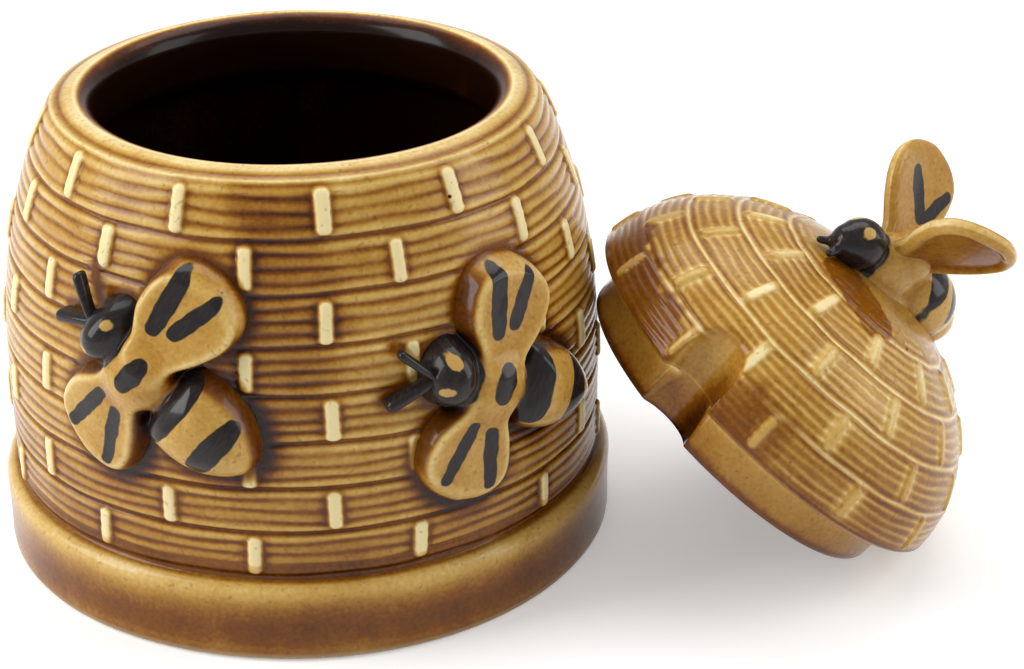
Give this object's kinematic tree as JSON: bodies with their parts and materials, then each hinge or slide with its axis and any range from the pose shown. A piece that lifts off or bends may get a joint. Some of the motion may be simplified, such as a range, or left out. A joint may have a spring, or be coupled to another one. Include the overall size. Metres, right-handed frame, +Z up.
{
  "type": "lidded honey pot",
  "caption": "Beehive honey pot in amber glazed stoneware, wall bees in relief, with a lift-off domed lid, bee knob and dipper notch.",
  "frame": {"origin": "centre of the pot's foot, on the plane that it stands on", "axes": "+Z up along the pot's axis; +X towards the lid that leans beside the pot; -Y is the pictured front"},
  "size_m": [0.1635, 0.1048, 0.075],
  "materials": {
    "amber_glaze": "glossy amber-brown transparent glaze, darker where it pools in the grooves",
    "painted_bee": "glossy honey glaze with dark brown-black painted head and stripes"
  },
  "bodies": {
    "pot": {"pot_shell": "amber_glaze", "wall_bee_front_left": "painted_bee", "wall_bee_front_right": "painted_bee", "wall_bee_back_left": "painted_bee", "wall_bee_back_right": "painted_bee"},
    "lid": {"lid_shell": "amber_glaze", "knob_bee_body": "painted_bee", "knob_wing_near": "painted_bee", "knob_wing_far": "painted_bee"}
  },
  "joints": [
    {"name": "lid_lift", "type": "slide", "parent": "pot", "child": "lid", "axis": [0, 0, 1], "range_m": [0, 0.09]}
  ]
}
